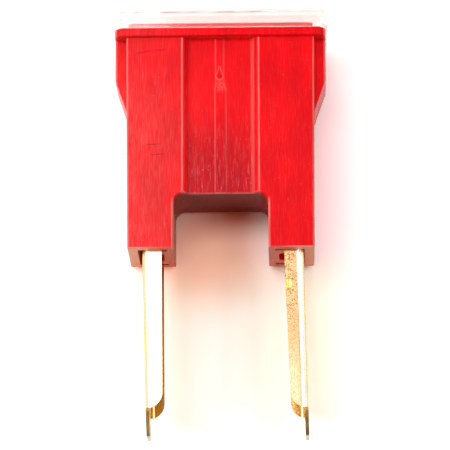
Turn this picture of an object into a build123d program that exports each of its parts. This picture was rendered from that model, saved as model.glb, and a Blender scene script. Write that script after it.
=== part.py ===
from build123d import *
import os
from math import radians, tan

# A plug-in cartridge fuse with two straight blades, lying on its back.
# X runs across the fuse, Y from the blade tips to the cover, Z up from the surface it lies on.
# Sizes are in millimetres. Heights along Y are counted from the leg ends, and the finished
# pieces are then moved so that the origin is the middle of the fuse's length.

# Housing: a hollow block with two legs, a flange round its mouth and an ear on each side
BLOCK_TOP_WIDTH = 26.75
BLOCK_FOOT_WIDTH = 26.35
BLOCK_DEPTH = 12.0
FLANGE_BASE = 30.86
FLANGE_TOP = 32.13
FLANGE_WIDTH = 30.1
FLANGE_DEPTH = 13.2
FLANGE_CORNER = 1.5
FLANGE_EDGE = 0.22
BLOCK_EDGE = 0.3
FOOT_EDGE = 0.12

# Notch between the legs
NOTCH_WIDTH = 13.35
NOTCH_HEIGHT = 8.0
NOTCH_CORNER = 1.4
NOTCH_EDGE = 0.18

# Groove down the middle of the front, with a low rib along it
GROOVE_MOUTH = 10.2
GROOVE_FLOOR = 9.1
GROOVE_DEPTH = 1.0
GROOVE_MOUTH_ROUND = 0.45
GROOVE_FLOOR_ROUND = 0.3
RIB_WIDTH = 1.57
RIB_HEIGHT = 0.13
RIB_SLOPE = 0.1
RIB_ROOT = 0.1
UPPER_RIB_WIDTH = 1.15
UPPER_RIB_OFFSET = -0.12

# Drop-shaped gate mark on the rib
GATE_TIP = 26.65
GATE_BASE = 24.77
GATE_WIDTH = 1.05
GATE_DEPTH = 0.16
SCUFF_END = 23.7

# Ears
EAR_REACH = 15.0
EAR_DEPTH = 8.6
EAR_STRAIGHT_END = 25.0
EAR_FOOT = 20.05
EAR_EDGE = 0.22

# Mouth rim and the hollow inside
RIM_WIDTH = 26.4
RIM_DEPTH = 11.2
RIM_TOP = 32.98
RIM_CORNER = 1.0
CHAMBER_FLOOR = 9.3
CHAMBER_WIDTH = 23.6
CHAMBER_MIDDLE_HALF = 6.6
CHAMBER_MIDDLE_FRONT = 10.45

# Openings in the leg ends that the blades come out of
SLOT_OUTER = 11.75
SLOT_INNER = 7.62
SLOT_THICKNESS = 0.85
SLOT_PLAY = 0.05
WEB_SLOT_INNER = 10.2
HOLE_INNER = 8.15
HOLE_MARGIN = 1.55
HOLE_CORNER = 0.9

# Cover: a shallow clear cap that stands on the flange, round the rim
COVER_WIDTH = 30.6
COVER_DEPTH = 13.4
COVER_TOP = 34.88
COVER_WALL = 0.95
COVER_ROOF = 0.9
COVER_CORNER = 1.6
COVER_EDGE = 0.5
COVER_INNER_CORNER = 0.7

# Blades: folded channels, open towards each other, both bent a little the same way
SHEET = 0.5
BLADE_DEPTH = 9.5
BLADE_BEND = 1.05
BLADE_SIDE_AT_LEG = 2.76
BLADE_SIDE_TAPER = 0.0165
BLADE_TOP = 24.0
BLADE_SIDE_END = -22.5
BLADE_SIDE_ROUND = 2.2
TONGUE_END = -26.1
TONGUE_END_WIDTH = 4.7
TONGUE_CORNER = 0.5
BLADE_LEAN = 1.25
LEFT_BLADE_OUTER = -11.15
RIGHT_BLADE_OUTER = 11.62
DIMPLE_HEIGHT = -4.88
DIMPLE_LENGTH = 2.0
DIMPLE_WIDTH = 0.75
DIMPLE_DEPTH = 0.12
DIMPLE_INSET = 0.55

# Fusible link: a thin strip welded between the blades, with a pellet on its narrow middle
LINK_THICKNESS = 0.25
LINK_WIDTH = 3.6
LINK_FOOT = 17.0
LINK_TOP = 23.0
LINK_SHOULDER = 4.2
LINK_DIP = 1.8
LINK_BEND = 0.7
LINK_PLAY = 0.005
NECK_HALF_LENGTH = 2.4
NECK_WIDTH = 1.0
NECK_CORNER = 0.6
PELLET_RADIUS = 0.85
PELLET_LENGTH = 2.3
PELLET_EDGE = 0.25

MIDDLE_Z = COVER_DEPTH / 2
BLOCK_BACK = MIDDLE_Z - BLOCK_DEPTH / 2
BLOCK_FRONT = MIDDLE_Z + BLOCK_DEPTH / 2
BLADE_BACK = MIDDLE_Z - BLADE_DEPTH / 2
BLADE_FRONT = MIDDLE_Z + BLADE_DEPTH / 2
MIDDLE_Y = (COVER_TOP + TONGUE_END) / 2


def plate(points, z_low, z_high):
    """The flat shape with these X, Y corners, from z_low to z_high."""
    outline = make_face(Polyline(*points, close=True))
    return extrude(Pos(0, 0, z_low) * outline, z_high - z_low, dir=(0, 0, 1))


def bar(section, y_low, y_high):
    """A section drawn as X, Z, carried along Y from y_low to y_high."""
    placed = Plane((0, y_low, 0), x_dir=(1, 0, 0), z_dir=(0, -1, 0)) * section
    return extrude(placed, y_high - y_low, dir=(0, 1, 0))


def block(x_low, x_high, y_low, y_high, z_low, z_high):
    """A box between these limits."""
    size = (x_high - x_low, y_high - y_low, z_high - z_low)
    middle = ((x_low + x_high) / 2, (y_low + y_high) / 2, (z_low + z_high) / 2)
    return Pos(*middle) * Box(*size)


def slab(width, depth, corner, y_low, y_high):
    """A plate across the fuse with rounded corners, seen from its cover end."""
    section = Pos(0, MIDDLE_Z) * RectangleRounded(width, depth, corner)
    return bar(section, y_low, y_high)


def edges_along_y(solid):
    """The edges that run along the fuse."""
    return [e for e in solid.edges() if abs(e.tangent_at(0.5).Y) > 0.9]


def edges_at_height(solid, y):
    """The edges that lie across the fuse at this height."""
    level = [e for e in solid.edges() if abs(e.center().Y - y) < 1e-4]
    return [e for e in level if abs(e.tangent_at(0.5).Y) < 0.01]


def outer_block():
    """The block before anything is cut out of it: it narrows a little towards the leg ends."""
    half_foot = BLOCK_FOOT_WIDTH / 2
    half_top = BLOCK_TOP_WIDTH / 2
    top = (FLANGE_BASE + FLANGE_TOP) / 2
    corners = [(-half_foot, 0), (half_foot, 0), (half_top, top), (-half_top, top)]
    body = plate(corners, BLOCK_BACK, BLOCK_FRONT)
    body = fillet(edges_along_y(body), BLOCK_EDGE)
    return chamfer(edges_at_height(body, 0), FOOT_EDGE)


def groove():
    """Cutter for the front groove: sloping sides, rounded at the floor."""
    floor = BLOCK_FRONT - GROOVE_DEPTH
    slope = (GROOVE_MOUTH - GROOVE_FLOOR) / 2 / GROOVE_DEPTH
    rise = GROOVE_DEPTH + 1
    half_high = GROOVE_FLOOR / 2 + slope * rise
    section = make_face(
        Polyline(
            (-GROOVE_FLOOR / 2, floor),
            (GROOVE_FLOOR / 2, floor),
            (half_high, floor + rise),
            (-half_high, floor + rise),
            close=True,
        )
    )
    low_corners = section.vertices().sort_by(Axis.Y)[:2]
    return bar(fillet(low_corners, GROOVE_FLOOR_ROUND), NOTCH_HEIGHT / 2, FLANGE_TOP)


def is_groove_mouth(edge):
    """Whether an edge is one of the two where the groove meets the front face."""
    middle = edge.center()
    on_front = abs(middle.Z - BLOCK_FRONT) < 1e-4
    return on_front and abs(abs(middle.X) - GROOVE_MOUTH / 2) < 1e-3


def notch():
    """Cutter for the gap between the legs, with its front and back edges broken."""
    half = NOTCH_WIDTH / 2
    corners = [(-half, -1), (half, -1), (half, NOTCH_HEIGHT), (-half, NOTCH_HEIGHT)]
    outline = make_face(Polyline(*corners, close=True))
    outline = fillet(outline.vertices().sort_by(Axis.Y)[-2:], NOTCH_CORNER)
    through = extrude(Pos(0, 0, -1) * outline, COVER_DEPTH + 2, dir=(0, 0, 1))
    flare = extrude(Pos(0, 0, BLOCK_FRONT - NOTCH_EDGE) * outline, 2 * NOTCH_EDGE, taper=-45)
    mirrored = mirror(flare, Plane((0, 0, MIDDLE_Z), z_dir=(0, 0, 1)))
    return through + flare + mirrored


def rib(width, centre, y_low, y_high):
    """A low rib on the groove's floor with sloping sides."""
    floor = BLOCK_FRONT - GROOVE_DEPTH
    half = width / 2
    section = make_face(
        Polyline(
            (centre - half, floor - RIB_ROOT),
            (centre + half, floor - RIB_ROOT),
            (centre + half, floor),
            (centre + half - RIB_SLOPE, floor + RIB_HEIGHT),
            (centre - half + RIB_SLOPE, floor + RIB_HEIGHT),
            (centre - half, floor),
            close=True,
        )
    )
    return bar(section, y_low, y_high)


def gate_mark():
    """Cutter for the drop-shaped mark: a round foot that draws up to a point."""
    radius = GATE_WIDTH / 2
    centre_y = GATE_BASE + radius
    tip = (UPPER_RIB_OFFSET, GATE_TIP)
    right = (UPPER_RIB_OFFSET + radius, centre_y)
    left = (UPPER_RIB_OFFSET - radius, centre_y)
    base = (UPPER_RIB_OFFSET, GATE_BASE)
    drop = make_face([Line(tip, right), ThreePointArc(right, base, left), Line(left, tip)])
    bottom = BLOCK_FRONT - GROOVE_DEPTH + RIB_HEIGHT - GATE_DEPTH
    return extrude(Pos(0, 0, bottom) * drop, 1, dir=(0, 0, 1))


def ear(side):
    """The thin wing on one side (-1 left, 1 right), under the flange."""
    inner = BLOCK_FOOT_WIDTH / 2 - 1
    root = (BLOCK_FOOT_WIDTH + BLOCK_TOP_WIDTH) / 4
    top = (FLANGE_BASE + FLANGE_TOP) / 2
    corners = [
        (inner, top),
        (EAR_REACH, top),
        (EAR_REACH, EAR_STRAIGHT_END),
        (root, EAR_FOOT),
        (inner, EAR_FOOT),
    ]
    wing = plate(corners, MIDDLE_Z - EAR_DEPTH / 2, MIDDLE_Z + EAR_DEPTH / 2)
    face_edges = [e for e in wing.edges() if abs(e.tangent_at(0.5).Z) < 0.1]
    outer_edges = [e for e in face_edges if e.center().X > root + EAR_EDGE and e.center().Y < FLANGE_BASE]
    wing = fillet(outer_edges, EAR_EDGE)
    return wing if side > 0 else mirror(wing, Plane.YZ)


def flange():
    """The flat plate round the block's mouth, with its edges rounded on both faces."""
    lip = slab(FLANGE_WIDTH, FLANGE_DEPTH, FLANGE_CORNER, FLANGE_BASE, FLANGE_TOP)
    rims = edges_at_height(lip, FLANGE_BASE) + edges_at_height(lip, FLANGE_TOP)
    return fillet(rims, FLANGE_EDGE)


def chamber():
    """Cutter for the hollow: two bays as deep as the blades, and a shallower middle behind the groove."""
    half = CHAMBER_WIDTH / 2
    bays = block(-half, half, CHAMBER_FLOOR, RIM_TOP + 1, BLADE_BACK, BLADE_FRONT)
    keep = block(
        -CHAMBER_MIDDLE_HALF,
        CHAMBER_MIDDLE_HALF,
        0,
        RIM_TOP + 2,
        CHAMBER_MIDDLE_FRONT,
        BLOCK_FRONT,
    )
    return bays - keep


def leg_opening(side):
    """Cutter through one leg: thin slots for the blade's folded sides and web, and a hole between."""
    low = BLADE_BACK - SLOT_PLAY
    high = BLADE_FRONT + SLOT_PLAY
    top = (CHAMBER_FLOOR + RIM_TOP) / 2
    front = block(SLOT_INNER, SLOT_OUTER, -1, top, high - SLOT_THICKNESS, high)
    back = block(SLOT_INNER, SLOT_OUTER, -1, top, low, low + SLOT_THICKNESS)
    web = block(WEB_SLOT_INNER, SLOT_OUTER, -1, top, low, high)
    hole_low = low + SLOT_THICKNESS + HOLE_MARGIN
    hole_high = high - SLOT_THICKNESS - HOLE_MARGIN
    hole = block(HOLE_INNER, SLOT_OUTER, -1, top, hole_low, hole_high)
    inner_edges = [e for e in edges_along_y(hole) if abs(e.center().X - HOLE_INNER) < 1e-4]
    opening = front + back + web + fillet(inner_edges, HOLE_CORNER)
    return opening if side > 0 else mirror(opening, Plane.YZ)


def housing():
    """The whole red moulding."""
    top = (FLANGE_BASE + FLANGE_TOP) / 2
    body = outer_block() - groove()
    body = fillet([e for e in body.edges() if is_groove_mouth(e)], GROOVE_MOUTH_ROUND)
    body = body + rib(RIB_WIDTH, 0, NOTCH_HEIGHT - 1, SCUFF_END)
    body = body + rib(UPPER_RIB_WIDTH, UPPER_RIB_OFFSET, SCUFF_END, top)
    body = body - gate_mark() - notch()
    body = body + ear(-1) + ear(1) + flange()
    body = body + slab(RIM_WIDTH, RIM_DEPTH, RIM_CORNER, top, RIM_TOP)
    return body - chamber() - leg_opening(-1) - leg_opening(1)


def cover():
    """A clear cap: four walls and a roof, open where it stands on the flange."""
    shell = slab(COVER_WIDTH, COVER_DEPTH, COVER_CORNER, FLANGE_TOP, COVER_TOP)
    shell = fillet(edges_at_height(shell, COVER_TOP), COVER_EDGE)
    width = COVER_WIDTH - 2 * COVER_WALL
    depth = COVER_DEPTH - 2 * COVER_WALL
    hollow = slab(width, depth, COVER_INNER_CORNER, FLANGE_TOP - 1, COVER_TOP - COVER_ROOF)
    return shell - hollow


def side_limit(y):
    """How far the folded sides reach from the web's outer face at this height."""
    return BLADE_SIDE_AT_LEG + BLADE_SIDE_TAPER * min(y, 0)


def upright_blade():
    """The right-hand blade before it leans: its outer face at X = 0, open towards -X."""
    reach = BLADE_SIDE_AT_LEG + 1
    outer = Pos(-reach / 2, MIDDLE_Z) * Rectangle(reach, BLADE_DEPTH)
    outer = fillet(outer.vertices().group_by(Axis.X)[-1], BLADE_BEND)
    inner = Pos(-reach / 2 - SHEET, MIDDLE_Z) * Rectangle(reach, BLADE_DEPTH - 2 * SHEET)
    inner = fillet(inner.vertices().group_by(Axis.X)[-1], BLADE_BEND - SHEET)
    channel = bar(outer - inner, BLADE_SIDE_END - 1, BLADE_TOP)
    end_side = side_limit(BLADE_SIDE_END)
    side_outline = [
        (1, BLADE_TOP + 1),
        (-side_limit(0), BLADE_TOP + 1),
        (-side_limit(0), 0),
        (-end_side, BLADE_SIDE_END),
        (1, BLADE_SIDE_END),
    ]
    outline = make_face(Polyline(*side_outline, close=True))
    low_corner = [v for v in outline.vertices() if abs(v.X + end_side) < 1e-4]
    outline = fillet(low_corner, BLADE_SIDE_ROUND)
    folded = channel & extrude(Pos(0, 0, -1) * outline, COVER_DEPTH + 2, dir=(0, 0, 1))
    return folded + tongue()


def tongue():
    """The flat tip of the web past the folded sides: it narrows towards its end."""
    wide = BLADE_DEPTH / 2 - BLADE_BEND
    narrow = TONGUE_END_WIDTH / 2
    outline = [
        (BLADE_SIDE_END + 1, MIDDLE_Z - wide),
        (BLADE_SIDE_END + 1, MIDDLE_Z + wide),
        (BLADE_SIDE_END, MIDDLE_Z + wide),
        (TONGUE_END, MIDDLE_Z + narrow),
        (TONGUE_END, MIDDLE_Z - narrow),
        (BLADE_SIDE_END, MIDDLE_Z - wide),
    ]
    face = make_face(Polyline(*outline, close=True))
    face = fillet(face.vertices().group_by(Axis.X)[0], TONGUE_CORNER)
    plane = Plane((-SHEET, 0, 0), x_dir=(0, 1, 0), z_dir=(1, 0, 0))
    return extrude(plane * face, SHEET, dir=(1, 0, 0))


def dimple():
    """Cutter for the small oval dent in the front of the right blade."""
    oval = scale(Sphere(1), (DIMPLE_WIDTH / 2, DIMPLE_LENGTH / 2, DIMPLE_DEPTH))
    return Pos(-BLADE_SIDE_AT_LEG + DIMPLE_INSET, DIMPLE_HEIGHT, BLADE_FRONT) * oval


def lean(solid, outer_face):
    """Tips a blade about the point where its outer face leaves the leg."""
    return Pos(outer_face, 0, 0) * Rot(0, 0, BLADE_LEAN) * solid


def left_blade():
    """The blade on the -X side, open towards the right."""
    return lean(mirror(upright_blade(), Plane.YZ), LEFT_BLADE_OUTER)


def right_blade():
    """The blade on the +X side, open towards the left, with its dent."""
    return lean(upright_blade() - dimple(), RIGHT_BLADE_OUTER)


def web_inner_x(outer_face, inward, y):
    """X of a blade's inner web face at height y; inward is +1 for the left blade, -1 for the right."""
    return outer_face - y * tan(radians(BLADE_LEAN)) + inward * SHEET


def strip_point(outer_face, inward, y):
    """A point on the middle of the strip's thickness where it lies against a blade."""
    return web_inner_x(outer_face, inward, y) + inward * (LINK_THICKNESS / 2 + LINK_PLAY), y


def fusible_link():
    """The strip: a foot on each blade, level arms, and a narrow middle that dips."""
    dip = LINK_TOP - LINK_DIP
    shoulder_foot = LINK_SHOULDER - LINK_DIP
    path = FilletPolyline(
        strip_point(LEFT_BLADE_OUTER, 1, LINK_FOOT),
        strip_point(LEFT_BLADE_OUTER, 1, LINK_TOP),
        (-LINK_SHOULDER, LINK_TOP),
        (-shoulder_foot, dip),
        (shoulder_foot, dip),
        (LINK_SHOULDER, LINK_TOP),
        strip_point(RIGHT_BLADE_OUTER, -1, LINK_TOP),
        strip_point(RIGHT_BLADE_OUTER, -1, LINK_FOOT),
        radius=LINK_BEND,
    )
    band = trace(path, LINK_THICKNESS)
    strip = extrude(Pos(0, 0, MIDDLE_Z - LINK_WIDTH / 2) * band, LINK_WIDTH, dir=(0, 0, 1))
    return strip - neck_waste(1) - neck_waste(-1)


def neck_waste(side):
    """Cutter for one side of the strip's narrow middle, with rounded ends."""
    low = NECK_WIDTH / 2
    cut = block(-NECK_HALF_LENGTH, NECK_HALF_LENGTH, LINK_FOOT, LINK_TOP + 1, low, low + LINK_WIDTH)
    corners = [e for e in edges_along_y(cut) if abs(e.center().Z - low) < 1e-4]
    cut = fillet(corners, NECK_CORNER)
    placed = Pos(0, 0, MIDDLE_Z) * cut
    return placed if side > 0 else mirror(placed, Plane((0, 0, MIDDLE_Z), z_dir=(0, 0, 1)))


def tin_pellet():
    """The low-melting pellet round the strip's narrow middle."""
    centre = Pos(0, LINK_TOP - LINK_DIP, MIDDLE_Z)
    drum = Rot(0, 90, 0) * Cylinder(PELLET_RADIUS, PELLET_LENGTH)
    drum = fillet(drum.edges().filter_by(GeomType.CIRCLE), PELLET_EDGE)
    return centre * drum - fusible_link()


PIECES = {
    "housing": housing,
    "cover": cover,
    "left_blade": left_blade,
    "right_blade": right_blade,
    "fusible_link": fusible_link,
    "tin_pellet": tin_pellet,
}

os.makedirs("parts", exist_ok=True)
for name, make in PIECES.items():
    piece = Pos(0, -MIDDLE_Y, 0) * make()
    export_step(piece, f"parts/{name}.step")
    print(name, round(piece.volume, 1), piece.bounding_box())
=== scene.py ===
# %% [markdown]
# # A plug-in cartridge fuse
# The fuse is a red moulded block with two hollow legs, a clear moulded cover and two folded brass
# blades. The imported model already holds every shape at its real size, so this notebook is mostly
# about finishes: what each surface is made of, how it was made, and what the eye reads from that.
# The model is loaded first, and its box is kept to compare with the finished object's box.

# %% Load the model
import math

import bpy
import numpy as np
from mathutils import Matrix, Quaternion, Vector


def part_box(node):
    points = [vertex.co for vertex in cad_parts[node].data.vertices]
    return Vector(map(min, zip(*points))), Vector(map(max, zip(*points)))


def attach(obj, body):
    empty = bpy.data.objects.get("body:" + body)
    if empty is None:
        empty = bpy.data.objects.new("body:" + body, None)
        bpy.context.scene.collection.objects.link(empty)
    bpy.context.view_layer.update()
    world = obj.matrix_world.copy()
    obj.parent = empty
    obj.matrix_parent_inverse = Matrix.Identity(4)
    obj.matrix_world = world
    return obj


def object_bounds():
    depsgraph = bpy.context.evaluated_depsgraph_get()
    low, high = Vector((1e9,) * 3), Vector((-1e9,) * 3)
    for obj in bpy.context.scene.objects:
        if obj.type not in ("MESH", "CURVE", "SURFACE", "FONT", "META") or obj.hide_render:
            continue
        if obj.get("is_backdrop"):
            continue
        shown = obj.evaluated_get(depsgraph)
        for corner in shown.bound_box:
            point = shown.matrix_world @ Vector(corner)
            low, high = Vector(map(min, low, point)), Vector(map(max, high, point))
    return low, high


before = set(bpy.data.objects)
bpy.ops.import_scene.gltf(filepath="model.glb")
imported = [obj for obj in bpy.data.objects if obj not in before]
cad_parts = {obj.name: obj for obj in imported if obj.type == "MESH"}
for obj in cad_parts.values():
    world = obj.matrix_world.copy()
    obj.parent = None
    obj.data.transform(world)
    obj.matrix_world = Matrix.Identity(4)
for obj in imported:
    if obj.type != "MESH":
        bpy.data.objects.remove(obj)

cad_low, cad_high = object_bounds()
print("nodes:", sorted(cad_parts))

# %% [markdown]
# ## Sizes
# Blender works in metres, but a fuse is easier to think of in millimetres. Sizes are written in
# millimetres, and one constant turns them to metres where Blender needs them. Places that a box
# can give come from the boxes of the loaded nodes. The block's own mouldings, such as its groove
# and its rib, can't be read from a box, so they are written here, measured up from the leg ends.

# %% Sizes and places
MM = 0.001
housing_low, housing_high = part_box("housing")
cover_low, cover_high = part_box("cover")
middle = (cad_low + cad_high) / 2

# The block: its half width grows from the leg ends by FLARE a millimetre.
LEG_END = housing_low.y / MM
LEG_HALF = 13.1
FLARE = 0.2 / 31.5
BLOCK_BACK = 0.7
FLANGE_PROUD = 0.6
FLANGE_FOOT = LEG_END + 30.86
BLOCK_FRONT = housing_high.z / MM - FLANGE_PROUD
EAR_REACH = 15.0
EAR_FRONT = 11.0

# The notch between the legs, and the groove above it with its rib.
NOTCH_HALF = 6.675
NOTCH_TOP = LEG_END + 8.0
GROOVE_FLOOR_HALF = 4.55
GROOVE_MOUTH = 5.45
RIB_HALF = 0.785
UPPER_RIB_HALF = 0.575
RIB_STEP = LEG_END + 23.7

# The drop-shaped mark where the melt came in.
GATE_ASIDE = -0.12
GATE_FOOT = LEG_END + 24.77
GATE_RADIUS = 0.525
GATE_TAPER = 0.39
GATE_FLOOR = 11.67

# The cover and the blades.
COVER_FOOT, COVER_TOP = cover_low.y / MM, cover_high.y / MM
COVER_HALF, COVER_FRONT = cover_high.x / MM, cover_high.z / MM
BLADE_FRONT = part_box("right_blade")[1].z / MM
TONGUE_FOOT = LEG_END - 22.4
DENT_GLINT = (9.2, LEG_END - 4.88, BLADE_FRONT)
print("leg ends at y", round(LEG_END, 2), "mm, front face at z", round(BLOCK_FRONT, 2), "mm")

# %% [markdown]
# ## The camera
# The fuse lies on its back and is seen almost from straight above, a little from the blades' end
# and a little from the right. A long lens from half a metre away keeps the blades nearly parallel.
# The camera could be turned by eye, but two angles, a distance and a small roll are easier to read
# and to change. Its up direction is the fuse's own length, because it looks nearly straight down.

# %% Camera
AZIMUTH = math.radians(4.96)
ELEVATION = math.radians(76.35)
ROLL = math.radians(-0.22)
DISTANCE = 505.3 * MM
AIM_ASIDE = Vector((0.47, 0.33, 0.0)) * MM
LENS = 284
NEAREST = 10 * MM

level = math.cos(ELEVATION)
back = Vector((math.sin(AZIMUTH) * level, -math.cos(AZIMUTH) * level, math.sin(ELEVATION)))
right = Vector((0, 1, 0)).cross(back).normalized()
up = back.cross(right)
axes = Matrix((right, up, back)).transposed()
camera_data = bpy.data.cameras.new("camera")
camera_data.lens = LENS
camera_data.clip_start = NEAREST
camera = bpy.data.objects.new("camera", camera_data)
camera.rotation_mode = "QUATERNION"
camera.rotation_quaternion = (axes @ Matrix.Rotation(ROLL, 3, "Z")).to_quaternion()
camera.location = middle + AIM_ASIDE + back * DISTANCE
bpy.context.scene.collection.objects.link(camera)
bpy.context.scene.camera = camera
bpy.context.scene.view_settings.view_transform = "Standard"
print("camera at", [round(v / MM, 1) for v in camera.location], "mm")

# %% [markdown]
# ## Colours and nodes
# Colours are written as the hex values that a screen shows. Light adds up linearly, so each one is
# turned to linear light first. Every node of a material is added by one small function: it names
# the kind of node, its settings, and for each input either a value or the output it is linked to.

# %% Helpers for colours and nodes
def linear(colour):
    """Linear red, green, blue and 1 for alpha. A channel c of the hex value, as a share of 255, is
    divided by 12.92 where it is dark, and is else ((c + 0.055) / 1.055) to the power 2.4."""
    shares = [int(colour[i : i + 2], 16) / 255 for i in (1, 3, 5)]
    return (*(c / 12.92 if c <= 0.04045 else ((c + 0.055) / 1.055) ** 2.4 for c in shares), 1.0)


def add(tree, kind, inputs=None, **settings):
    """Adds a node of this kind. inputs gives each input's value, or the output that feeds it."""
    node = tree.nodes.new(kind)
    for name, value in settings.items():
        setattr(node, name, value)
    for key, value in (inputs or {}).items():
        if isinstance(value, bpy.types.NodeSocket):
            tree.links.new(value, node.inputs[key])
        else:
            node.inputs[key].default_value = value
    return node


def new_tree(name):
    """An empty material, its tree, and the piece's own coordinates in millimetres."""
    material = bpy.data.materials.new(name)
    material.use_nodes = True
    tree = material.node_tree
    tree.nodes.clear()
    place = add(tree, "ShaderNodeTexCoord").outputs["Object"]
    scale = {"Vector": place, "Scale": 1 / MM}
    return material, tree, add(tree, "ShaderNodeVectorMath", scale, operation="SCALE").outputs[0]


print("mid grey in linear light:", [round(c, 3) for c in linear("#808080")])

# %% [markdown]
# ## Masks
# Most marks on a real surface have a place and a soft border: a rubbed edge, a scuffed hollow, a
# stained tip. A mask says how strong such a mark is at each point, from 0 to 1. It is built from
# soft steps along a coordinate or a pattern, multiplied together, so the mark is only where all
# of them are. A painted map could do the same, but steps keep their real sizes and stay sharp.

# %% Masks
def soft_mask(tree, *steps):
    """The product of its steps. A step (value, low, high) is 0 where value is under low and 1 where
    it is over high, and smooth between; two more numbers stand for the 0 and the 1. A step can also
    be a plain number, or a mask that was made before."""
    product = None
    for step in steps:
        if isinstance(step, tuple):
            value, low, high, bottom, top = (*step, 0.0, 1.0)[:5]
            limits = {"Value": value, "From Min": low, "From Max": high, "To Min": bottom, "To Max": top}
            step = add(tree, "ShaderNodeMapRange", limits, interpolation_type="SMOOTHSTEP").outputs[0]
        if product is not None:
            step = add(tree, "ShaderNodeMath", {0: product, 1: step}, operation="MULTIPLY").outputs[0]
        product = step
    return product


def together(tree, *masks):
    """The sum of masks, held between 0 and 1, so that marks can overlap."""
    total = masks[0]
    for mask in masks[1:]:
        both = {0: total, 1: mask}
        total = add(tree, "ShaderNodeMath", both, operation="ADD", use_clamp=True).outputs[0]
    return total


def away(tree, value, middle):
    """How far value is from middle, on either side."""
    apart = add(tree, "ShaderNodeMath", {0: value, 1: middle}, operation="SUBTRACT").outputs[0]
    return add(tree, "ShaderNodeMath", {0: apart}, operation="ABSOLUTE").outputs[0]


def stripe(tree, value, middle, half):
    """1 where value is nearer to middle than 0.3 times half, falling smoothly to 0 at half."""
    return soft_mask(tree, (away(tree, value, middle), half, half * 0.3))


print("a stripe of half width 0.2 mm is full strength for", round(0.2 * 0.3 * 2, 2), "mm")

# %% [markdown]
# ## The floor
# The fuse lies on plain white card. The card is one flat square, far larger than the fuse. Near
# the fuse it is a matt surface, so that it takes the soft shadow. Further out it turns into an
# even white, as a card that curves up behind an object does. The world behind it is the same
# white, so there is no horizon. The orange glow between the legs is light that the brass throws
# on the card. Few light paths find it, so part of it is painted light: a warm tone painted on the
# card at that place.

# %% Floor
FLOOR_HALF = 3000 * MM

# Distances from the middle and from the glow. CARD_WHITE is the colour of what the card throws
# on, and the gains are the colour that is seen, away from the glow and in it. The gain in the glow
# is painted light.
SHADOW_NEAR = 60
SHADOW_FAR = 160
CARD_WHITE = (0.85, 0.8, 0.74, 1.0)
CARD_GAIN = (1.6, 1.7, 1.72, 1.0)
PAINTED_GLOW_GAIN = (1.95, 1.28, 1.0, 1.0)
PAINTED_GLOW_PLACE = (-2.0, -1.5, 0.0)
WARM_NEAR, WARM_FAR = 2.0, 12.5

corners = [(-FLOOR_HALF, -FLOOR_HALF), (FLOOR_HALF, -FLOOR_HALF)]
corners += [(-x, -y) for x, y in corners]
floor_mesh = bpy.data.meshes.new("floor")
floor_mesh.from_pydata([(x, y, cad_low.z) for x, y in corners], [], [(0, 1, 2, 3)])
floor = bpy.data.objects.new("floor", floor_mesh)
bpy.context.scene.collection.objects.link(floor)
floor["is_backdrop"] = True


def looked_at(tree):
    """1 for rays of the eye, of mirrors and of clear plastic, and 0 for rays that carry light."""
    rays = add(tree, "ShaderNodeLightPath").outputs
    seen = rays["Is Camera Ray"]
    for kind in ("Is Glossy Ray", "Is Transmission Ray"):
        seen = add(tree, "ShaderNodeMath", {0: seen, 1: rays[kind]}, operation="MAXIMUM").outputs[0]
    return seen


def matt_white_card():
    """White card. It throws on only the light that card does, and is brighter than that for the
    eye, as under a strong lamp. Near the glow the eye sees it warmer, as painted light. The mix to
    even white grows with the distance from the middle."""
    material, tree, place = new_tree("white_card_matt")
    seen = looked_at(tree)
    # Painted light: the warm gain near the glow between the legs.
    from_glow = {0: place, 1: PAINTED_GLOW_PLACE}
    from_glow = add(tree, "ShaderNodeVectorMath", from_glow, operation="DISTANCE").outputs["Value"]
    gain = {0: soft_mask(tree, (from_glow, WARM_NEAR, WARM_FAR)), 6: PAINTED_GLOW_GAIN, 7: CARD_GAIN}
    gain = add(tree, "ShaderNodeMix", gain, data_type="RGBA").outputs[2]
    tone = {0: seen, 6: CARD_WHITE, 7: gain}
    tone = add(tree, "ShaderNodeMix", tone, data_type="RGBA").outputs[2]
    card = add(tree, "ShaderNodeBsdfDiffuse", {"Color": tone}).outputs[0]
    even = add(tree, "ShaderNodeEmission", {"Color": (1, 1, 1, 1), "Strength": 1.0}).outputs[0]
    out = add(tree, "ShaderNodeVectorMath", {0: place}, operation="LENGTH").outputs["Value"]
    far = soft_mask(tree, seen, (out, SHADOW_NEAR, SHADOW_FAR))
    surface = add(tree, "ShaderNodeMixShader", {0: far, 1: card, 2: even}).outputs[0]
    add(tree, "ShaderNodeOutputMaterial", {"Surface": surface})
    return material


floor_mesh.materials.append(matt_white_card())
print("floor at z", round(cad_low.z / MM, 3), "mm")

# %% [markdown]
# ## Light panels
# Four soft panels light the fuse. The upper one hangs above and to the left, and its edge decides
# which flat faces mirror it: the left blade does, and the right blade just misses it. The left one
# is the main light on the block. The right one is weaker and catches the rounded edges. The far
# one stands past the cover, so the gap between the legs lies in the block's shadow. A panel's
# power is worked out from how bright its surface is: power is brightness times area times pi.

# %% Light panels
# Each row: where the panel stands, what it faces, its width and height, all in millimetres, then
# its brightness and its turn in its own plane, in degrees.
PANELS = {
    "upper_panel": ((-172, 105, 500), (-172, 105, 0), (310, 150), 5.0, 9),
    "left_panel": ((-430, 20, 330), (0, 0, 0), (360, 300), 5.0, 0),
    "right_panel": ((330, 40, 420), (0, 0, 0), (450, 300), 2.6, 0),
    "far_panel": ((0, 470, 340), (0, 0, 0), (420, 240), 3.0, 0),
}


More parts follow.
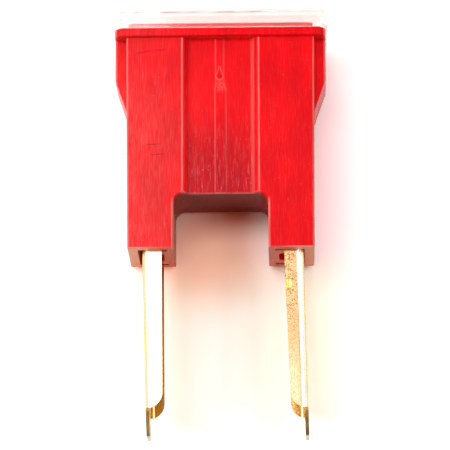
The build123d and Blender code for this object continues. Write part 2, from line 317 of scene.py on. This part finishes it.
def panel(name, place, aim, size, bright, turn):
    """A rectangle of light at place, facing aim and turned in its own plane."""
    data = bpy.data.lights.new(name, "AREA")
    data.shape = "RECTANGLE"
    data.size, data.size_y = size[0] * MM, size[1] * MM
    data.energy = bright * math.pi * data.size * data.size_y
    lamp = bpy.data.objects.new(name, data)
    lamp.location = Vector(place) * MM
    lamp.rotation_mode = "QUATERNION"
    spin = Quaternion((0, 0, 1), math.radians(turn))
    lamp.rotation_quaternion = (Vector(aim) - Vector(place)).to_track_quat("-Z", "Y") @ spin
    bpy.context.scene.collection.objects.link(lamp)
    print(name, round(data.energy, 2), "W")


for panel_name, row in PANELS.items():
    panel(panel_name, *row)

# %% [markdown]
# ## The world
# The world does two jobs. For rays that carry light it is a faint warm fill, so that no hollow is
# quite black. For the eye, for mirrors and for clear plastic it is plain white, so that the
# background is white and the brass has something bright to mirror.

# %% World
FILL_STRENGTH = 0.05


def white_world():
    """Faint fill light, and white for whatever looks at it."""
    world = bpy.data.worlds.new("white_world")
    world.use_nodes = True
    tree = world.node_tree
    tree.nodes.clear()
    fill = {"Color": linear("#FFC48C"), "Strength": FILL_STRENGTH}
    fill = add(tree, "ShaderNodeBackground", fill).outputs[0]
    white = add(tree, "ShaderNodeBackground", {"Color": (1, 1, 1, 1), "Strength": 1.0}).outputs[0]
    mixed = add(tree, "ShaderNodeMixShader", {0: looked_at(tree), 1: fill, 2: white}).outputs[0]
    add(tree, "ShaderNodeOutputWorld", {"Surface": mixed})
    return world


bpy.context.scene.world = white_world()
print("fill light", FILL_STRENGTH, "of white")

# %% [markdown]
# ## Grain and paint
# Two more helpers serve every finish. A grain is noise stretched to real sizes, so it can be the
# fine lines of a rolled sheet or the blotches of a moulding. Paint lays a tint over a colour
# wherever a mask is, so a finish reads as a list of coats, from the bare material to its wear.

# %% Grain and paint
def grain(tree, place, to_a_mm, **inputs):
    """Noise on stretched coordinates, with so many grains to a millimetre along x, y and z."""
    fine = add(tree, "ShaderNodeVectorMath", {0: place, 1: to_a_mm}, operation="MULTIPLY").outputs[0]
    return add(tree, "ShaderNodeTexNoise", {"Vector": fine, "Scale": 1.0, **inputs}).outputs[0]


def paint(tree, colour, tint, *steps):
    """Colour, turned to the hex tint by as much as the mask of these steps."""
    coats = {0: soft_mask(tree, *steps), 6: colour, 7: linear(tint)}
    return add(tree, "ShaderNodeMix", coats, data_type="RGBA").outputs[2]


print("a grain of 6 to a millimetre is", round(1 / 6, 2), "mm wide")

# %% [markdown]
# ## Edge highlights and rubs of the plastic
# Every edge of the moulding is rubbed a little paler than the faces. The bevels are too narrow to
# catch enough light by themselves, so each edge also gets a thin pale line, by its place, which is
# mostly a painted highlight: the block's sides, the groove's mouth and foot, the rib, the legs, the
# notch's lip and the ears.

# %% Edge highlights and rubs
# Half widths of the lines.
SIDE_LINE, EAR_LINE = 0.24, 0.4
MOUTH_LINE, FOOT_LINE, RIB_LINE = 0.17, 0.4, 0.16
LEG_LINE, LIP_LINE = 0.28, 0.22


def groove_edges(tree, xyz, aside):
    """The painted highlights of the groove's mouth, of its right foot, which faces the left panel, and
    of the rib, above the notch. The rib narrows and shifts a little aside at its step."""
    step = (xyz["Y"], RIB_STEP - 0.4, RIB_STEP + 0.4)
    from_rib = away(tree, xyz["X"], soft_mask(tree, (*step, 0.0, GATE_ASIDE)))
    rib_half = soft_mask(tree, (*step, RIB_HALF, UPPER_RIB_HALF))
    mouth = soft_mask(tree, stripe(tree, aside, GROOVE_MOUTH, MOUTH_LINE), 0.8)
    foot = soft_mask(tree, stripe(tree, xyz["X"], GROOVE_FLOOR_HALF, FOOT_LINE), 0.45)
    rib = soft_mask(tree, stripe(tree, from_rib, rib_half, RIB_LINE), 0.45)
    lines = together(tree, mouth, foot, rib)
    return soft_mask(tree, lines, (xyz["Y"], NOTCH_TOP - 0.2, NOTCH_TOP + 0.6))


def leg_edges(tree, xyz, aside):
    """The painted highlights down the legs' inner edges and along the lip of the notch, which fade at
    the rounded corner between them."""
    leg = stripe(tree, aside, NOTCH_HALF + 0.1, LEG_LINE)
    leg = soft_mask(tree, leg, 0.9, (xyz["Y"], NOTCH_TOP - 0.4, NOTCH_TOP - 1.6))
    lip = stripe(tree, xyz["Y"], NOTCH_TOP + 0.1, LIP_LINE)
    lip = soft_mask(tree, lip, 0.5, (aside, NOTCH_HALF - 0.6, NOTCH_HALF - 1.6))
    return together(tree, leg, lip)


def edge_highlights_and_rubs(tree, xyz, aside):
    """All pale edge lines: painted highlights, with some rub. Half the block's width at a height is
    LEG_HALF plus FLARE times the height above the leg ends, and the side lines stand there."""
    height = add(tree, "ShaderNodeMath", {0: xyz["Y"], 1: LEG_END}, operation="SUBTRACT").outputs[0]
    half_width = {0: height, 1: FLARE, 2: LEG_HALF}
    half_width = add(tree, "ShaderNodeMath", half_width, operation="MULTIPLY_ADD").outputs[0]
    sides = soft_mask(tree, stripe(tree, aside, half_width, SIDE_LINE), 0.75)
    lines = together(tree, sides, groove_edges(tree, xyz, aside), leg_edges(tree, xyz, aside))
    on_front = (xyz["Z"], BLOCK_FRONT - 1.4, BLOCK_FRONT - 0.8)
    lines = soft_mask(tree, lines, on_front, (xyz["Y"], FLANGE_FOOT, FLANGE_FOOT - 0.1))
    ears = stripe(tree, aside, EAR_REACH, EAR_LINE)
    ears = soft_mask(tree, ears, 0.8, (xyz["Z"], EAR_FRONT - 0.4, EAR_FRONT - 0.2))
    return together(tree, lines, ears)


print("edge lines up to y", round(FLANGE_FOOT, 2), "mm")

# %% [markdown]
# ## Drop mark and scratches
# The melt came in at a drop-shaped mark on the rib, whose rim is rubbed pale. The left ridge has
# three dark scratches across it. Both kinds of mark are thin lines on a flat face, so a distance
# that is worked out in the material draws them, and they need no shape of their own. The upper
# scratch bends, so it is made of two strokes.

# %% Drop mark and scratches
# Each stroke: its start and end, across and up from the leg ends, and its half width.
SCRATCHES = [
    ((-12.3, 28.0), (-9.6, 28.6), 0.13),
    ((-9.9, 28.6), (-7.2, 28.6), 0.1),
    ((-10.8, 14.7), (-8.1, 14.7), 0.12),
    ((-10.0, 13.2), (-7.7, 13.2), 0.12),
]
WANDER = 0.8
RIM_LINE = 0.16


def drop_outline(tree, xyz):
    """The rim of the drop. The distance is measured from the middle of its round foot, and above
    that it also grows with the height, so the line of equal distance is a drop."""
    above = {0: xyz["Y"], 1: GATE_FOOT + GATE_RADIUS}
    above = add(tree, "ShaderNodeMath", above, operation="SUBTRACT").outputs[0]
    under = add(tree, "ShaderNodeMath", {0: above, 1: 0.0}, operation="MINIMUM").outputs[0]
    over = add(tree, "ShaderNodeMath", {0: above, 1: 0.0}, operation="MAXIMUM").outputs[0]
    flat = {0: away(tree, xyz["X"], GATE_ASIDE), 1: under}
    flat = add(tree, "ShaderNodeCombineXYZ", flat).outputs[0]
    around = add(tree, "ShaderNodeVectorMath", {0: flat}, operation="LENGTH").outputs["Value"]
    reach = {0: over, 1: GATE_TAPER, 2: around}
    reach = add(tree, "ShaderNodeMath", reach, operation="MULTIPLY_ADD").outputs[0]
    over_floor = (xyz["Z"], GATE_FLOOR - 0.67, GATE_FLOOR - 0.27)
    return soft_mask(tree, stripe(tree, reach, GATE_RADIUS, RIM_LINE), over_floor)


def scratch(tree, xyz, blotch, start, end, half):
    """A thin line from start to end: where y is near the line's height at that x, which wanders a
    little with the blotches."""
    slope = (end[1] - start[1]) / (end[0] - start[0])
    line = {0: xyz["X"], 1: slope, 2: LEG_END + start[1] - slope * start[0]}
    line = add(tree, "ShaderNodeMath", line, operation="MULTIPLY_ADD").outputs[0]
    line = {0: blotch, 1: WANDER, 2: line}
    line = add(tree, "ShaderNodeMath", line, operation="MULTIPLY_ADD").outputs[0]
    reach = (end[0] - start[0]) / 2
    from_middle = away(tree, xyz["X"], start[0] + reach)
    on_front = (xyz["Z"], BLOCK_FRONT - 0.3, BLOCK_FRONT - 0.1)
    across = stripe(tree, xyz["Y"], line, half)
    return soft_mask(tree, across, (from_middle, reach, reach - 0.8), on_front)


print(len(SCRATCHES), "strokes for the scratches")

# %% [markdown]
# ## Red moulded thermoplastic
# The block is a thermoplastic, moulded in one shot in a bright red. Three things tell the eye so:
# a satin gloss that is a little uneven, fine streaks along the block where the melt flowed and
# where it was later rubbed, and paler edges. A plain red would look like a drawing of a fuse. The
# red is laid on in coats: first the moulding itself, then its rubs, then its marks.

# %% Coats of the bare moulding
def moulded_coats(tree, grains, lower_groove):
    """The bare moulding: two reds in soft blotches, with dark streaks that are stronger in the lower
    groove, which is also darker as a whole."""
    colour = paint(tree, linear("#FF0414"), "#EA0212", (grains["blotch"], 0.35, 0.65))
    streaked = together(tree, soft_mask(tree, lower_groove, 0.65), 0.16)
    colour = paint(tree, colour, "#B00418", (grains["streak"], 0.5, 0.34), streaked)
    # The lower groove is darker as a whole.
    return paint(tree, colour, "#9A0A20", lower_groove, 0.5)


print("reds from", [round(c, 3) for c in linear("#FF0414")], "to", [round(c, 3) for c in linear("#9A0A20")])

# %% [markdown]
# ## Rubs
# Sliding in and out of a holder rubs the plastic pale in fine hairs along its length. The groove is
# scuffed too, low down. The left ridge is the palest, because it faces the brightest panel: part
# of its haze stands for that light, which the plain lamps give only in part.

# %% Rubs and painted sheen
def rub_and_sheen_coats(tree, xyz, colour, grains, lower_groove):
    """Pale rubs over the whole moulding: a haze and fine hairs, most of them on the left ridge and
    in the scuffed groove, and a few flecks. The haze on the left ridge is partly a painted sheen of
    the bright left panel. The haze fades towards the flange."""
    to_flange = (xyz["Y"], LEG_END + 30, LEG_END + 16, 0.35, 1.0)
    # Painted sheen, partly rub: the left ridge is paler where it faces the bright left panel.
    left = soft_mask(tree, (xyz["X"], 0.0, -13.0, 0.04, 0.3), to_flange)
    colour = paint(tree, colour, "#FF7F7A", left, (grains["hair"], 0.2, 0.7))
    hairy = together(tree, soft_mask(tree, lower_groove, 0.34), soft_mask(tree, left, 0.4), 0.05)
    colour = paint(tree, colour, "#F79C98", (grains["hair"], 0.54, 0.76), hairy)
    flecked = together(tree, soft_mask(tree, lower_groove, 0.3), 0.15)
    return paint(tree, colour, "#FFD9D4", (grains["fleck"], 0.7, 0.78), flecked)


print("hairs of", round(1 / 9, 2), "mm")

# %% [markdown]
# ## Marks
# The last coats have places of their own. Some of them stand for light as well as for the plastic:
# the ends of the legs are paler, where bright card lights them from below, and the walls of the
# notch are duller, where little light comes in.

# %% Marked coats
def marked_coats(tree, place, xyz, colour, grains, aside):
    """Marks with a place of their own: the drop mark and the rubbed patch below it, painted shade on
    the walls of the notch, painted light on the ends of the legs, the edges and the scratches."""
    below_drop = {0: place, 1: (0.0, GATE_FOOT - 0.9, BLOCK_FRONT - 0.9)}
    below_drop = add(tree, "ShaderNodeVectorMath", below_drop, operation="DISTANCE").outputs["Value"]
    patch = soft_mask(tree, (below_drop, 1.3, 0.2), (grains["speckle"], 0.42, 0.62), 0.3)
    rim = soft_mask(tree, drop_outline(tree, xyz), (grains["speckle"], 0.4, 0.55, 0.25, 1.0), 0.3)
    colour = paint(tree, colour, "#FFA9A0", together(tree, patch, rim))
    # Painted shade: the walls of the notch are darker where little light comes in.
    below_front = (xyz["Z"], BLOCK_FRONT - 0.25, BLOCK_FRONT - 0.45)
    under_lip = (xyz["Y"], NOTCH_TOP + 0.3, NOTCH_TOP + 0.1)
    between_legs = (aside, NOTCH_HALF + 0.2, NOTCH_HALF)
    colour = paint(tree, colour, "#6E1416", between_legs, below_front, under_lip, 0.75)
    # Painted light: the ends of the legs are paler where the bright card lights them from below.
    leg_face = (xyz["Y"], LEG_END + 0.25, LEG_END + 0.12)
    colour = paint(tree, colour, "#FFA68C", leg_face, (aside, 8.0, 11.5, 0.35, 1.0))
    # Painted highlights along the edges, with some rub.
    edges = edge_highlights_and_rubs(tree, xyz, aside)
    colour = paint(tree, colour, "#FF968E", edges, (grains["streak"], 0.3, 0.6, 0.5, 1.0), 0.8)
    for start, end, half in SCRATCHES:
        cut = scratch(tree, xyz, grains["blotch"], start, end, half)
        colour = paint(tree, colour, "#8E0A18", cut, 0.45)
    return colour


print("drop mark at y", round(GATE_FOOT, 2), "mm, notch top at y", round(NOTCH_TOP, 2), "mm")

# %% [markdown]
# ## The red plastic's surface
# The coats need five grains: wide blotches, streaks about 0.15 mm wide, finer hairs, flecks, and a
# speckle that breaks up the marks. The bevels and faces mirror little, because the surface is
# full of fine scuffs, so the mirror part is set low. A weak sheen in a warm tint gives the soft
# haze that such scuffs show under wide lamps. The relief is only a hundredth of a millimetre.

# %% Red thermoplastic
RELIEF = 0.01 * MM


def red_moulded_thermoplastic():
    """The coats over a satin surface whose roughness goes from 0.22 to 0.34 with the hairs."""
    material, tree, place = new_tree("thermoplastic_moulded_red")
    xyz = add(tree, "ShaderNodeSeparateXYZ", {0: place}).outputs
    grains = {
        "blotch": grain(tree, place, (0.3, 0.12, 0.3), Detail=4.0),
        "streak": grain(tree, place, (6.0, 0.25, 6.0), Detail=4.0, Roughness=0.65),
        "hair": grain(tree, place, (9.0, 0.5, 9.0), Detail=3.0, Roughness=0.6),
        "fleck": grain(tree, place, (5.0, 3.0, 5.0), Detail=2.0),
        "speckle": grain(tree, place, (11.0, 5.0, 11.0), Detail=2.0),
    }
    aside = away(tree, xyz["X"], 0.0)
    in_groove = (aside, GROOVE_FLOOR_HALF + 0.2, GROOVE_FLOOR_HALF - 0.1)
    lower_groove = soft_mask(tree, (xyz["Y"], LEG_END + 22, NOTCH_TOP + 2), in_groove)
    colour = moulded_coats(tree, grains, lower_groove)
    colour = rub_and_sheen_coats(tree, xyz, colour, grains, lower_groove)
    colour = marked_coats(tree, place, xyz, colour, grains, aside)

    rough = soft_mask(tree, (grains["hair"], 0.3, 0.8, 0.22, 0.34))
    relief = {0: grains["streak"], 1: grains["hair"]}
    relief = add(tree, "ShaderNodeMath", relief, operation="ADD").outputs[0]
    bump = add(tree, "ShaderNodeBump", {"Height": relief, "Strength": 0.1, "Distance": RELIEF})
    surface = {
        "Base Color": colour,
        "Roughness": rough,
        "Normal": bump.outputs[0],
        "IOR": 1.5,
        "Specular IOR Level": 0.06,
        "Sheen Weight": 0.25,
        "Sheen Roughness": 0.25,
        "Sheen Tint": linear("#FFC9A8"),
    }
    shader = add(tree, "ShaderNodeBsdfPrincipled", surface)
    add(tree, "ShaderNodeOutputMaterial", {"Surface": shader.outputs[0]})
    return material


RED = red_moulded_thermoplastic()
print(RED.name, "has", len(RED.node_tree.nodes), "nodes")

# %% [markdown]
# ## Meshes from grids
# Two traces of moulding are real shapes: the stub of the sprue and the marks of the ejector pins.
# Both are surfaces of two parameters, worked out as whole arrays of points. A grid of points needs
# quads between its rings, and the same function makes them for both.

# %% Grids and pieces
def grid_faces(rings, turns, wrap=False):
    """Quads between rings of points. Each ring is closed on itself, and with wrap the last ring
    also meets the first, as on a doughnut."""
    ring, turn = np.meshgrid(np.arange(rings if wrap else rings - 1), np.arange(turns), indexing="ij")
    here, above = ring * turns, (ring + 1) % rings * turns
    after = (turn + 1) % turns
    quads = np.stack([here + turn, here + after, above + after, above + turn], axis=-1)
    return quads.reshape(-1, 4)


def new_piece(name, points, faces, material):
    """A mesh from points in millimetres. It rides on the one body and takes the slot's finish."""
    mesh = bpy.data.meshes.new(name)
    mesh.from_pydata((points * MM).tolist(), [], faces)
    mesh.polygons.foreach_set("use_smooth", np.ones(len(mesh.polygons), dtype=bool))
    mesh.materials.append(material)
    piece = bpy.data.objects.new(name, mesh)
    bpy.context.scene.collection.objects.link(piece)
    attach(piece, "root")
    print(name, len(mesh.polygons), "faces")
    return piece


# %% [markdown]
# ## The gate stub
# The melt came in at the drop-shaped mark. When the block was pulled out, the sprue tore off there
# and left a low rough stub. It is a small dome whose rim and top wave a little, so that it looks
# torn, and its foot is sunk into the floor of the mark, so that no gap shows.

# %% Gate stub
STUB_RADIUS = 0.3
STUB_HEIGHT = 0.13
STUB_SINK = 0.05
STUB_RINGS = 9
STUB_TURNS = 28
STUB_TOP = 0.97 * math.pi / 2


def stub_points(place):
    """A waving dome, and under it a copy of its rim. At the angle t, from 0 at the rim to STUB_TOP,
    and a round the dome, the radius is cos t times a wave in 3 a and 7 a, and the height is sin t
    times a wave in 2 a."""
    t = np.linspace(0, STUB_TOP, STUB_RINGS)[:, None]
    a = np.linspace(0, 2 * np.pi, STUB_TURNS, endpoint=False)[None, :]
    out = STUB_RADIUS * np.cos(t) * (1 + 0.12 * np.sin(3 * a + 1) + 0.06 * np.sin(7 * a))
    height = STUB_HEIGHT * np.sin(t) * (1 + 0.25 * np.sin(2 * a + 0.5))
    dome = np.stack([out * np.cos(a), out * np.sin(a), height], axis=-1)
    foot = dome[:1] - np.array([0, 0, STUB_SINK])
    return np.concatenate([foot, dome]).reshape(-1, 3) + np.array(place)


stub = stub_points((GATE_ASIDE, GATE_FOOT + GATE_RADIUS, GATE_FLOOR))
stub_faces = grid_faces(STUB_RINGS + 1, STUB_TURNS).tolist()
stub_bottom = list(range(STUB_TURNS))[::-1]
stub_top = list(range(STUB_RINGS * STUB_TURNS, (STUB_RINGS + 1) * STUB_TURNS))
new_piece("gate_stub", stub, stub_faces + [stub_bottom, stub_top], RED)

# %% [markdown]
# ## The ejector marks
# On the back, four pins pushed the block out of the mould, and each left a thin round ridge. A
# ridge is a ring: a small oval carried round a circle, half of it sunk in the back. All four are
# one piece, because they are one surface with the block, and lie in the corners of its back.

# %% Ejector marks
PIN_RADIUS = 1.25
RIDGE_HALF = 0.06
RIDGE_FLATTEN = 0.7
PIN_TURNS, PIN_SIDES = 40, 10
PIN_ASIDE = 9.6
PIN_PLACES = [(x, LEG_END + y, BLOCK_BACK) for x in (-PIN_ASIDE, PIN_ASIDE) for y in (4.0, 26.0)]


def ridge_points(place):
    """A thin ring. At a round the pin and b round the oval, the radius is PIN_RADIUS plus
    RIDGE_HALF cos b, and the height is RIDGE_FLATTEN times RIDGE_HALF sin b."""
    a = np.linspace(0, 2 * np.pi, PIN_TURNS, endpoint=False)[:, None]
    b = np.linspace(0, 2 * np.pi, PIN_SIDES, endpoint=False)[None, :]
    out = PIN_RADIUS + RIDGE_HALF * np.cos(b)
    height = RIDGE_HALF * RIDGE_FLATTEN * np.sin(b) * np.ones_like(a)
    ring = np.stack([out * np.cos(a), out * np.sin(a), height], axis=-1)
    return ring.reshape(-1, 3) + np.array(place)


# The rings of this grid are the ovals, so its quads would face inward, and each is read backwards.
marks = np.concatenate([ridge_points(place) for place in PIN_PLACES])
ridge_faces = grid_faces(PIN_TURNS, PIN_SIDES, wrap=True)[:, ::-1]
first_points = np.arange(len(PIN_PLACES)) * PIN_TURNS * PIN_SIDES
mark_faces = (first_points[:, None, None] + ridge_faces).reshape(-1, 4)
new_piece("ejector_marks", marks, mark_faces.tolist(), RED)

# %% [markdown]
# ## Brass sheet
# The blades are stamped from rolled brass and folded. Rolling leaves fine lines along the strip,
# and stamping and handling leave pits and rubs. The right blade has more pits where it leaves the
# leg, and is browner there, which is partly painted shade from the dark block that it mirrors. Its
# bend has a painted highlight, and a painted yellow glint marks a small dent. These two are coats
# of their own.

# %% Bend highlight and dent glint
BEND_LEAN = 0.036


def bend_and_dent_highlights(tree, place, xyz, colour, bend):
    """A painted highlight on the bend and a painted yellow glint on a small dent. The blade leans,
    so where the bend starts grows by BEND_LEAN for each millimetre down from the leg."""
    height = add(tree, "ShaderNodeMath", {0: xyz["Y"], 1: LEG_END}, operation="SUBTRACT").outputs[0]
    lean = {0: height, 1: BEND_LEAN, 2: xyz["X"]}
    lean = add(tree, "ShaderNodeMath", lean, operation="MULTIPLY_ADD").outputs[0]
    # Painted highlight on the bend.
    colour = paint(tree, colour, "#FFF6E4", (lean, bend - 0.15, bend + 0.1))
    # Painted glint on a small dent.
    from_glint = {0: place, 1: DENT_GLINT}
    from_glint = add(tree, "ShaderNodeVectorMath", from_glint, operation="DISTANCE").outputs["Value"]
    return paint(tree, colour, "#E6D85A", (from_glint, 1.1, 0.3, 0.0, 0.5))


print("dent", round(LEG_END - DENT_GLINT[1], 2), "mm below the leg")

# %% [markdown]
# ## The brass's coats
# The sides are painted a deeper gold than the fronts, as shade, and the tongues are stained brown.
# Real rolling lines are finer than 0.08 mm, and they are drawn this coarse so that they show. One
# function makes both blades, with their colours, their pits and their bend as its settings.

# %% Brass
BRASS_ROUGH = 0.2
TO_THE_TIP = (LEG_END - 10, LEG_END - 22)
NEAR_THE_LEG = (LEG_END - 16, LEG_END - 4)


def rolled_brass(name, leg_colour, tip_colour, pits, bend=None):
    """Rolling lines 0.08 mm wide along the blade, pits of about 0.15 mm that are stronger near the
    leg, and a colour that goes from the leg's to the tip's. On the right blade the brown near the
    leg is partly painted shade. Pits are rougher and lie deeper. A painted highlight on the bend
    starts at x = bend where the blade leaves the leg."""
    material, tree, place = new_tree(name)
    xyz = add(tree, "ShaderNodeSeparateXYZ", {0: place}).outputs
    line = grain(tree, place, (12.0, 0.15, 12.0), Detail=3.0)
    cloud = grain(tree, place, (0.5, 0.2, 0.5), Detail=3.0)
    cells = add(tree, "ShaderNodeVectorMath", {0: place, "Scale": 6.5}, operation="SCALE").outputs[0]
    cells = add(tree, "ShaderNodeTexVoronoi", {"Vector": cells, "Scale": 1.0}).outputs["Color"]
    cells = add(tree, "ShaderNodeSeparateColor", {0: cells}).outputs[0]
    # Pits, and on the right blade partly painted shade near the leg.
    pits_and_shade = soft_mask(tree, (cells, 0.35, 1.0), (xyz["Y"], *NEAR_THE_LEG, 0.4, 1.0), pits)

    clouded = soft_mask(tree, (cloud, 0.45, 0.7, -0.15, 0.15))
    # The leg's colour, on the right blade partly painted shade, turns to the tip's.
    to_tip = together(tree, soft_mask(tree, (xyz["Y"], *TO_THE_TIP)), clouded)
    colour = paint(tree, linear(leg_colour), tip_colour, to_tip)
    colour = paint(tree, colour, "#86602F", pits_and_shade)
    if bend is not None:
        colour = bend_and_dent_highlights(tree, place, xyz, colour, bend)
    # Painted shade: the sides are a deeper gold than the fronts.
    colour = paint(tree, colour, "#D9B26C", (xyz["Z"], BLADE_FRONT - 0.25, BLADE_FRONT - 0.6))
    colour = paint(tree, colour, "#A87E40", (line, 0.48, 0.66, 0.0, 0.3))
    on_tongue = (xyz["Y"], TONGUE_FOOT, TONGUE_FOOT - 0.6, 0.0, 0.95)
    colour = paint(tree, colour, "#6A4A2A", on_tongue, (cloud, 0.35, 0.6, 0.6, 1.0))

    rough = {0: line, 1: 0.12, 2: BRASS_ROUGH - 0.06}
    rough = {0: pits_and_shade, 1: 0.25, 2: add(tree, "ShaderNodeMath", rough, operation="MULTIPLY_ADD").outputs[0]}
    rough = add(tree, "ShaderNodeMath", rough, operation="MULTIPLY_ADD").outputs[0]
    depth = {0: pits_and_shade, 1: -2.0, 2: line}
    depth = add(tree, "ShaderNodeMath", depth, operation="MULTIPLY_ADD").outputs[0]
    bump = add(tree, "ShaderNodeBump", {"Height": depth, "Strength": 0.2, "Distance": RELIEF})
    surface = {"Base Color": colour, "Metallic": 1.0, "Roughness": rough, "Normal": bump.outputs[0]}
    shader = add(tree, "ShaderNodeBsdfPrincipled", surface)
    add(tree, "ShaderNodeOutputMaterial", {"Surface": shader.outputs[0]})
    return material


BRIGHT_BRASS = rolled_brass("brass_rolled_bright", "#F6DDB0", "#F6DDB0", 0.1)
PITTED_SHADED_BRASS = rolled_brass("brass_rolled_pitted_shaded", "#D6A87C", "#E2CCA4", 0.95, bend=10.6)
print("brass with", len(PITTED_SHADED_BRASS.node_tree.nodes), "nodes")

# %% [markdown]
# ## The hidden link and its pellet
# Between the blades a thin strip of copper alloy carries the current, and a pellet of tin sits on
# its narrow middle. The strip is rolled and stamped, so its grain runs one way. The pellet is
# cast, so its grain is even and its surface dull. One function makes both.

# %% Link and pellet
def grained_metal(name, colour, shade, to_a_mm, roughness):
    """A metal whose colour and roughness change with a grain, of so many grains to a millimetre."""
    material, tree, place = new_tree(name)
    fine = grain(tree, place, to_a_mm, Detail=3.0)
    base = paint(tree, linear(colour), shade, (fine, 0.4, 0.65, 0.0, 0.7))
    rough = soft_mask(tree, (fine, 0.3, 0.7, roughness - 0.05, roughness + 0.1))
    bump = add(tree, "ShaderNodeBump", {"Height": fine, "Strength": 0.3, "Distance": RELIEF})
    surface = {"Base Color": base, "Metallic": 1.0, "Roughness": rough, "Normal": bump.outputs[0]}
    shader = add(tree, "ShaderNodeBsdfPrincipled", surface)
    add(tree, "ShaderNodeOutputMaterial", {"Surface": shader.outputs[0]})
    return material


ROLLED_COPPER = grained_metal("copper_alloy_rolled", "#E0A878", "#C08454", (0.3, 8.0, 8.0), 0.3)
CAST_TIN = grained_metal("tin_cast_dull", "#C9C8C4", "#9C9C9A", (4.0, 4.0, 4.0), 0.45)
print("hidden metals:", ROLLED_COPPER.name, CAST_TIN.name)

# %% [markdown]
# ## Clear polycarbonate
# The cover is moulded from clear polycarbonate, about a millimetre thick. Glass and clear plastic
# are mostly seen by their edges, which bend the light. Here a thin cover lies over white card, so
# more than half of the light goes straight through, and the rest is bent. A thin dull red line at the
# roof's corner is a painted reflection of the block, the greyer sides are painted shade, and the foot
# is less clear.

# %% Polycarbonate
CLEAREST, DULLEST = 0.6, 0.1


def clear_moulded_polycarbonate():
    """Clear plastic with faint flow marks and a faint haze. The share that goes straight through is
    CLEAREST where there is no mark and DULLEST on a mark, and all of it for rays that carry light."""
    material, tree, place = new_tree("polycarbonate_moulded_clear")
    xyz = add(tree, "ShaderNodeSeparateXYZ", {0: place}).outputs
    flow = grain(tree, place, (0.4, 1.5, 0.4), Detail=3.0)
    in_front = (xyz["Z"], COVER_FRONT - 0.5, COVER_FRONT - 0.3)
    uneven = [(flow, 0.35, 0.6, 0.4, 1.0), (xyz["X"], 3.0, 9.0, 0.9, 0.5)]
    # Painted reflection: a thin dull red line of the block at the roof's corner.
    corner = soft_mask(tree, stripe(tree, xyz["Y"], COVER_TOP - 0.55, 0.26), in_front, *uneven)
    side = stripe(tree, away(tree, xyz["X"], 0.0), COVER_HALF, 0.3)
    foot = stripe(tree, xyz["Y"], COVER_FOOT + 0.2, 0.35)
    # Painted shade: the sides are greyer, where the walls are seen edge on.
    colour = paint(tree, linear("#F9F5F3"), "#A29C96", side, 0.7)
    colour = paint(tree, colour, "#70201E", corner)
    rough = soft_mask(tree, (flow, 0.3, 0.7, 0.03, 0.08))
    bump = add(tree, "ShaderNodeBump", {"Height": flow, "Strength": 0.25, "Distance": 2 * RELIEF})
    surface = {"Base Color": colour, "Roughness": rough, "Normal": bump.outputs[0]}
    surface |= {"IOR": 1.585, "Transmission Weight": 0.95}
    bent = add(tree, "ShaderNodeBsdfPrincipled", surface).outputs[0]

    rays = add(tree, "ShaderNodeLightPath").outputs
    lets = {0: rays["Is Shadow Ray"], 1: rays["Is Diffuse Ray"]}
    lets = add(tree, "ShaderNodeMath", lets, operation="MAXIMUM").outputs[0]
    marked = together(tree, corner, foot, soft_mask(tree, side, 0.5))
    clear = together(tree, lets, soft_mask(tree, (marked, 0.0, 1.0, CLEAREST, DULLEST)))
    straight = add(tree, "ShaderNodeBsdfTransparent", {"Color": linear("#FAF5F3")}).outputs[0]
    mixed = add(tree, "ShaderNodeMixShader", {0: clear, 1: bent, 2: straight}).outputs[0]
    add(tree, "ShaderNodeOutputMaterial", {"Surface": mixed})
    return material


CLEAR = clear_moulded_polycarbonate()
print(CLEAR.name, "has", len(CLEAR.node_tree.nodes), "nodes")

# %% [markdown]
# ## Each node gets its material
# The loaded shapes stay as they are and only change their finish. Each node is made of one
# material all over, so one slot does for all its faces.

# %% Assign the materials
FINISHES = {
    "housing": RED,
    "left_blade": BRIGHT_BRASS,
    "right_blade": PITTED_SHADED_BRASS,
    "cover": CLEAR,
    "fusible_link": ROLLED_COPPER,
    "tin_pellet": CAST_TIN,
}
for node, material in FINISHES.items():
    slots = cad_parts[node].data.materials
    slots.clear()
    slots.append(material)
    print(node, "->", material.name)

# %% [markdown]
# ## Check and finish
# Finishes must not change the object's size. The box of everything that is visible now is set
# against the loaded model's, and how much it grew is printed.

# %% Finish
visual_low, visual_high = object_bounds()
growth = (visual_high - visual_low) - (cad_high - cad_low)
print("the box grew by", [round(v / MM, 3) for v in growth], "mm")
